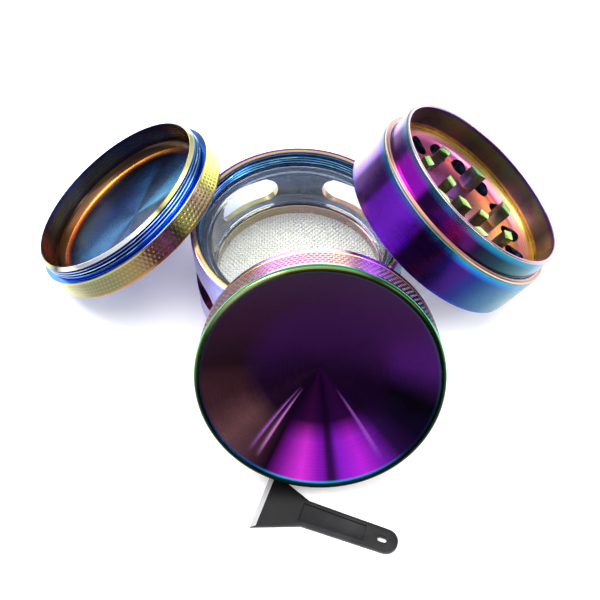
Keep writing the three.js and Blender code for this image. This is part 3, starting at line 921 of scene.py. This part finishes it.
def build_chamber(place):
    foot = -CHAMBER_H - COLLAR_H
    relief = thread(foot + 0.1, -CHAMBER_H - 0.05, COLLAR_THREAD)
    shell = turned("grinding_chamber", chamber_profile(), CHAMBER_ZONES, relief=relief)
    drills = [hole_cutter(HOLE_FIRST + i * 360 / HOLE_COUNT) for i in range(HOLE_COUNT)]
    settle(carved(shell, drills), place, "grinding_chamber", "chamber_plating", "chamber_shell")
    teeth = tooth_ring("chamber_teeth", CHAMBER_TEETH, FLOOR_Z - TOOTH_ROOT, FLOOR_Z + TOOTH_H)
    settle(teeth, place, "grinding_chamber", "chamber_plating")
    magnet = magnet_disc("chamber_magnet_disc", FLOOR_Z - MAGNET_H, FLOOR_Z - 0.1)
    settle(magnet, place, "grinding_chamber", "magnet_plating", "chamber_magnet")


def build_glide_ring(place):
    """A slim ring with a raised bead at each edge, loose on the chamber's ledge."""
    inner, outer = NECK_R + 0.15, OUTER_R - 0.15
    low, high = LEDGE_Z + 0.1, LEDGE_Z + 0.7
    ring = turned("glide_ring_bead", rounded([
        (inner, low, 0.1, "ring"),
        (outer, low, 0.15, "ring"),
        (outer, high, 0.22, "ring"),
        (outer - 0.6, high, 0.08, "ring"),
        (outer - 0.7, high - 0.14, 0.04, "ring"),
        (inner + 0.55, high - 0.14, 0.04, "ring"),
        (inner + 0.45, high, 0.08, "ring"),
        (inner, high, 0.2, "ring"),
    ]), {"ring": GLIDE}, closed=True)
    settle(ring, place, "glide_ring", "glide_nylon", "glide_ring")


# -------- sieve chamber

def sieve_profile():
    socket_top = RING_LOW - 0.4 - SHOULDER_T
    low, high = SIEVE_THREAD
    corners = rounded([
        (TRAY_SOCKET_R, 0, 0.1, "socket"),
        (OUTER_R, 0, 0.3, "wall"),
        (OUTER_R, SIEVE_H, 0.6, "rim"),
        (SIEVE_BORE_R, SIEVE_H, 0.35, "bore"),
        (SIEVE_BORE_R, high, 0, "thread"),
        (SIEVE_BORE_R, low, 0, "bore"),
        (SIEVE_BORE_R, socket_top + SHOULDER_T, 0, "socket"),
        (SHOULDER_R, socket_top + SHOULDER_T, 0, "socket"),
        (SHOULDER_R, socket_top, 0, "socket"),
        (TRAY_SOCKET_R, socket_top, 0, "socket"),
    ])
    return subdivided(corners, "thread", THREAD_STEP)


SIEVE_ZONES = {"socket": SIEVE_SOCKET, "wall": SIEVE_WALL, "rim": SIEVE_RIM, "bore": SIEVE_BORE,
               "thread": SIEVE_THREAD_PAINTED_LIGHT, "window": WINDOW_EDGE}


def window_cutter(middle):
    """A rounded slot bent round the wall."""
    half_turn = math.radians(WINDOW_SPAN / 2)
    end = WINDOW_H / 2 / OUTER_R
    outline = []
    for side in (1, -1):
        for k in range(ARC_STEPS + 1):
            a = math.radians(-90 + k * 180 / ARC_STEPS)
            turn = side * (half_turn - end + end * math.cos(a))
            outline.append((turn, WINDOW_Z + side * WINDOW_H / 2 * math.sin(a)))
        for k in range(1, ARC_STEPS):
            turn = side * (half_turn - end) * (1 - 2 * k / ARC_STEPS)
            outline.append((turn, WINDOW_Z + side * WINDOW_H / 2))
    inner, outer = SIEVE_BORE_R - 1.0, OUTER_R + 1.0
    count = len(outline)
    vertices = []
    for reach in (inner, outer):
        for turn, z in outline:
            vertices.append((reach * math.cos(turn) * MM, reach * math.sin(turn) * MM, z * MM))
    vertices += [(inner * MM, 0, WINDOW_Z * MM), (outer * MM, 0, WINDOW_Z * MM)]
    faces = []
    for i in range(count):
        j = (i + 1) % count
        faces.append((i, j, count + j, count + i))
        faces.append((j, i, 2 * count))
        faces.append((count + i, count + j, 2 * count + 1))
    slots = [list(SIEVE_ZONES).index("window")] * len(faces)
    return turn_by(solid("window", vertices, faces, SIEVE_ZONES.values(), slots), middle)


def woven_screen(name, radius, pitch, wire_r, z, material):
    """Two sets of round wires that pass over and under each other, cut to a disc."""
    sides = 5
    sway = wire_r * 1.05
    vertices = []
    faces = []
    angles = [2 * math.pi * s / sides for s in range(sides)]
    count = int(radius / pitch)
    for direction in (0, 1):
        for line in range(-count, count + 1):
            offset = line * pitch
            crossings = int(math.sqrt(radius ** 2 - offset ** 2) / pitch * 2)
            start = len(vertices)
            for k in range(-crossings, crossings + 1):
                along = k * pitch / 2
                rise = sway * math.cos(math.pi * (k / 2 + line + direction))
                for angle in angles:
                    across = offset + wire_r * math.cos(angle)
                    x, y = (along, across) if direction == 0 else (across, along)
                    vertices.append((x * MM, y * MM, (z + rise + wire_r * math.sin(angle)) * MM))
            for k in range(2 * crossings):
                for s in range(sides):
                    t = (s + 1) % sides
                    a, b = start + k * sides, start + (k + 1) * sides
                    quad = (a + s, b + s, b + t, a + t)
                    faces.append(quad if direction == 0 else quad[::-1])
    return solid(name, vertices, faces, [material], sharp=80)


def build_sieve(place):
    body, slot = "sieve_chamber", "sieve_plating"
    low, high = SIEVE_THREAD
    relief = thread(low, high, -THREAD_DEPTH)
    shell = turned("sieve_chamber", sieve_profile(), SIEVE_ZONES, closed=True, relief=relief)
    cutters = [window_cutter(WINDOW_FIRST + i * 360 / WINDOW_COUNT) for i in range(WINDOW_COUNT)]
    settle(carved(shell, cutters), place, body, slot, "sieve_shell")

    outer = SIEVE_BORE_R - SLEEVE_GAP
    sleeve = turned("window_sleeve_clear", rounded([
        (SLEEVE_R, RING_TOP + 0.05, 1.0, "acrylic"),
        (outer, RING_TOP + 0.05, 0.2, "acrylic"),
        (outer, RING_TOP + SLEEVE_FLANGE, 0.2, "acrylic"),
        (SLEEVE_R + SLEEVE_WALL, RING_TOP + SLEEVE_FLANGE, 0.5, "acrylic"),
        (SLEEVE_R + SLEEVE_WALL, SLEEVE_TOP - SLEEVE_FLANGE, 0.5, "acrylic"),
        (outer, SLEEVE_TOP - SLEEVE_FLANGE, 0.2, "acrylic"),
        (outer, SLEEVE_TOP, 0.3, "acrylic"),
        (SLEEVE_R, SLEEVE_TOP, 1.2, "acrylic"),
        (SLEEVE_R, RING_TOP + 4, 0, "acrylic"),
    ], arc_steps=7), {"acrylic": ACRYLIC}, closed=True)
    settle(sleeve, place, body, "clear_acrylic", "window_sleeve")

    ring = turned("screen_clamp_ring", rounded([
        (RING_R, RING_LOW, 0.1, "ring"),
        (outer, RING_LOW, 0.2, "ring"),
        (outer, RING_TOP, 0.2, "ring"),
        (RING_R, RING_TOP, 0.15, "ring"),
        (RING_R, RING_LOW + 1, 0, "ring"),
    ]), {"ring": RING_PLATING}, closed=True)
    settle(ring, place, body, slot, "screen_ring")

    screen = woven_screen("woven_screen", RING_R + 1.5, SCREEN_PITCH, SCREEN_WIRE_R, SCREEN_Z, WIRE)
    settle(screen, place, body, "woven_wire", "screen_mesh")


# -------- tray

def tray_profile():
    low, high = TRAY_KNURL
    thread_high = TRAY_THREAD[1]
    neck = TRAY_NECK_R - THREAD_DEPTH + 0.1
    corners = rounded([
        (0, -TRAY_H, 0, "under"),
        (OUTER_R, -TRAY_H, 0.45, "band"),
        (OUTER_R, low, 0, "band"),
        (OUTER_R - BAND_SEAT, low, 0, "band"),
        (OUTER_R - BAND_SEAT, high, 0, "band"),
        (OUTER_R, high, 0, "band"),
        (OUTER_R, -TRAY_NECK_H, 0.3, "neck"),
        (neck, -TRAY_NECK_H, 0.1, "thread"),
        (neck, thread_high, 0, "neck"),
        (TRAY_NECK_R, thread_high + 0.1, 0.05, "neck"),
        (TRAY_NECK_R, -TRAY_BEVEL, 0.1, "rim"),
        (TRAY_NECK_R - TRAY_BEVEL, 0, 0.1, "rim"),
        (TRAY_BORE_R, 0, 0.12, "bore"),
        (TRAY_BORE_R, TRAY_FLOOR_Z + TRAY_FILLET, 0, "bore"),
    ])
    edge = TRAY_BORE_R - TRAY_FILLET
    fillet_steps, bore_steps = 14, 8
    fillet = quarter_arc(edge, TRAY_FLOOR_Z + TRAY_FILLET, TRAY_FILLET, -TRAY_FILLET, fillet_steps)
    shares = [i / ARC_STEPS for i in range(1, ARC_STEPS + 1)]
    fall = TRAY_FLOOR_Z - TRAY_CENTRE_Z
    cone = [(edge * (1 - share), TRAY_FLOOR_Z - fall * share) for share in shares]
    bore = [(r, z, "bore") for r, z in fillet[:bore_steps]]
    floor = [(r, z, "floor") for r, z in fillet[bore_steps:] + cone]
    return subdivided(corners, "thread", THREAD_STEP) + bore + floor


def build_tray(place):
    relief = thread(TRAY_THREAD[0] - 0.2, TRAY_THREAD[1], THREAD_DEPTH)
    shell = turned("tray", tray_profile(), {
        "under": TRAY_UNDER, "band": TRAY_BAND, "thread": TRAY_THREAD_PAINTED_LIGHT,
        "neck": TRAY_THREAD_PAINTED_LIGHT, "rim": TRAY_RIM, "bore": TRAY_BORE, "floor": TRAY_FLOOR,
    }, relief=relief)
    settle(shell, place, "tray", "tray_plating", "tray_shell")
    band = knurled_band("tray_knurl", *TRAY_KNURL, TRAY_DIMPLE, TRAY_KNURLED, TRAY_BAND)
    settle(band, place, "tray", "tray_plating")


# -------- scraper

def half_round(x, radius, start):
    """Points of a half circle about (x, 0) that starts at an angle and runs anticlockwise."""
    angles = [math.radians(start + 180 * k / ARC_STEPS) for k in range(ARC_STEPS + 1)]
    return [(x + radius * math.cos(a), radius * math.sin(a)) for a in angles]


def build_scraper(place):
    neck = HANDLE_W / 2
    end = HANDLE_L - HANDLE_END_R
    outline = [(-BLADE_L, -BLADE_W / 2), (0, -neck)]
    outline += half_round(end, HANDLE_END_R, -90)
    outline += [(0, neck), (-BLADE_L, BLADE_W / 2)]
    plastics = [BLACK_PLASTIC, PALE_BEVEL_PLASTIC]
    body = prism("scraper_body", outline, 0, SCRAPER_T, plastics)

    # The wedge slopes the blade's end down to its edge, and its faces leave the pale grey plastic.
    wide = BLADE_W / 2 + 1
    wedge = prism("wedge", [(-wide, -1), (wide, -1), (wide, 3), (-wide, 3)], -1, 1, plastics, slot=1)
    slope = math.atan2(SCRAPER_T - EDGE_T, BEVEL_L)
    wedge.matrix_world = (
        Matrix.Translation(((-BLADE_L + BEVEL_L) * MM, 0, SCRAPER_T * MM))
        @ Matrix.Rotation(-slope, 4, "Y")
        @ Matrix.Translation((-MM, 0, MM))
        @ Matrix.Rotation(math.radians(90), 4, "Z")
    )
    inner = neck - RIB_W
    far = PANEL_L - 1
    panel = prism("panel", [(-1, -inner), (far, -inner + 0.4), (far, inner - 0.4), (-1, inner)],
                  SCRAPER_T - RIB_DEPTH, SCRAPER_T + 1, plastics)
    reach = (HANG_HOLE["length"] - HANG_HOLE["width"]) / 2
    hang = half_round(HANG_HOLE["x"] + reach, HANG_HOLE["width"] / 2, -90)
    hang += half_round(HANG_HOLE["x"] - reach, HANG_HOLE["width"] / 2, 90)
    hole = prism("hole", hang, -1, SCRAPER_T + 1, plastics)
    carved(body, [wedge, panel, hole])
    settle(bevelled(body, 0.16), place, "scraper", "black_plastic", "scraper")


# -------- table, light and camera

def build_floor():
    mesh = bpy.data.meshes.new("table")
    reach = 2.5
    mesh.from_pydata([(-reach, -reach, 0), (reach, -reach, 0), (reach, reach, 0), (-reach, reach, 0)],
                     [], [(0, 1, 2, 3)])
    shader = Shader("table_white")
    mesh.materials.append(shader.set(Base_Color=linear("#f6f6f6"), Roughness=0.7,
                                     Emission_Color=linear("#ffffff"), Emission_Strength=0.22))
    new_object("table", mesh)


def add_light(name, place, target, size, power):
    light = bpy.data.lights.new(name, "AREA")
    light.shape = "RECTANGLE"
    light.size, light.size_y = size
    light.energy = power
    made = new_object(name, light)
    made.location = place
    made.rotation_euler = (Vector(target) - Vector(place)).to_track_quat("-Z", "Y").to_euler()


def build_world():
    """A pale room: bright overhead, greyer towards the horizon."""
    world = bpy.data.worlds.new("room")
    world.use_nodes = True
    tree = world.node_tree
    split = tree.nodes.new("ShaderNodeSeparateXYZ")
    tree.links.new(tree.nodes.new("ShaderNodeTexCoord").outputs["Generated"], split.inputs[0])
    ramp = tree.nodes.new("ShaderNodeValToRGB")
    ramp.color_ramp.elements[0].position = 0.0
    ramp.color_ramp.elements[0].color = (0.42, 0.42, 0.44, 1)
    ramp.color_ramp.elements[1].position = 0.8
    ramp.color_ramp.elements[1].color = (1.0, 1.0, 1.0, 1)
    tree.links.new(split.outputs[2], ramp.inputs[0])
    background = tree.nodes["Background"]
    tree.links.new(ramp.outputs[0], background.inputs[0])
    background.inputs[1].default_value = 0.85
    bpy.context.scene.world = world


def build_camera():
    data = bpy.data.cameras.new("camera")
    data.sensor_width = 36
    data.lens = 51.38
    data.clip_start = 0.01
    camera = new_object("camera", data)
    camera.location = (0.002086, -0.142814, 0.2176)
    camera.rotation_euler = (math.radians(35.94), 0, 0)
    bpy.context.scene.camera = camera


build_camera()
build_floor()
build_world()
add_light("overhead", (0.0, 0.1, 1.0), (0, 0, 0), (1.1, 1.1), 16)
add_light("key", (-0.45, 0.2, 0.7), (0, 0, 0.02), (0.35, 0.25), 4)
add_light("fill", (0.6, -0.2, 0.5), (0, 0, 0.02), (0.2, 0.4), 2.5)

build_sieve(sieve_place())
build_tray(standing("tray_turn"))
chamber_place = standing("chamber_turn")
build_chamber(chamber_place)
build_glide_ring(chamber_place)
build_lid(standing("lid_turn"))
build_scraper(scraper_place())

bpy.context.scene.view_settings.view_transform = "Standard"
